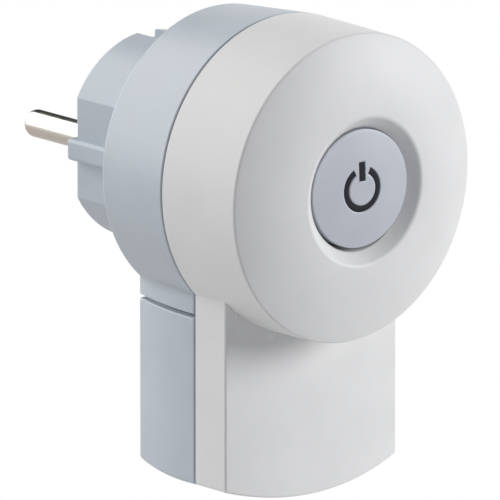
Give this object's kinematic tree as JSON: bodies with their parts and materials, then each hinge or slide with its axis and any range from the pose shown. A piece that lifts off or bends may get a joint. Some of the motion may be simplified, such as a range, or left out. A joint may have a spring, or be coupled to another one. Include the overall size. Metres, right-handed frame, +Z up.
{
  "type": "switched mains plug",
  "caption": "Rewirable round-pin mains plug with a domed head, a push-button on/off switch in its front and a stem that takes the cord from below.",
  "frame": {"origin": "middle of the nose's end face, between the pins", "axes": "+Y the way the pins point into a wall socket, +Z up, +X to the right seen from the button's side"},
  "size_m": [0.0542, 0.0753, 0.0824],
  "materials": {
    "white_abs": "fine moulded satin",
    "grey_abs": "fine moulded satin",
    "dark_print": "matt",
    "dark_plastic": "moulded",
    "nickel": "nickel plated, polished",
    "brass": "turned",
    "copper": "stamped copper alloy",
    "steel": "zinc plated",
    "black_rubber": "matt"
  },
  "bodies": {
    "housing": {"front_shell": "white_abs", "rear_shell": "grey_abs", "cord_cover": "grey_abs", "line_pin": "nickel", "neutral_pin": "nickel", "earth_socket": "brass", "earth_clip": "nickel", "line_in_strip": "copper", "neutral_in_strip": "copper", "line_out_strip": "copper", "neutral_out_strip": "copper", "line_terminal": "brass", "neutral_terminal": "brass", "earth_terminal": "brass", "terminal_screws": "steel", "terminal_block": "white_abs", "switch_base": "dark_plastic", "switch_cover": "dark_plastic", "switch_screws": "steel", "return_spring": "steel", "housing_screws": "steel", "cover_screws": "steel", "clamp_bar": "dark_plastic", "clamp_screws": "steel", "cord_grommet": "black_rubber"},
    "button": {"push_button": "grey_abs", "power_symbol": "dark_print", "plunger": "dark_plastic", "line_bridge": "copper", "neutral_bridge": "copper"},
    "latch": {"latch_lever": "steel"}
  },
  "joints": [
    {"name": "button_press", "type": "slide", "parent": "housing", "child": "button", "axis": [0, 1, 0], "range_m": [0, 0.0025], "stiffness_N_per_m": 1000, "springref_m": -0.003, "deforming": ["return_spring"]},
    {"name": "latch_swing", "type": "hinge", "parent": "housing", "child": "latch", "pos_m": [0, -0.0309, -0.0046], "axis": [0, 0, 1], "range_deg": [0, 8]}
  ],
  "couplings": [
    {"joint": "latch_swing", "follows": "button_press", "rad_per_m": 55.85}
  ]
}
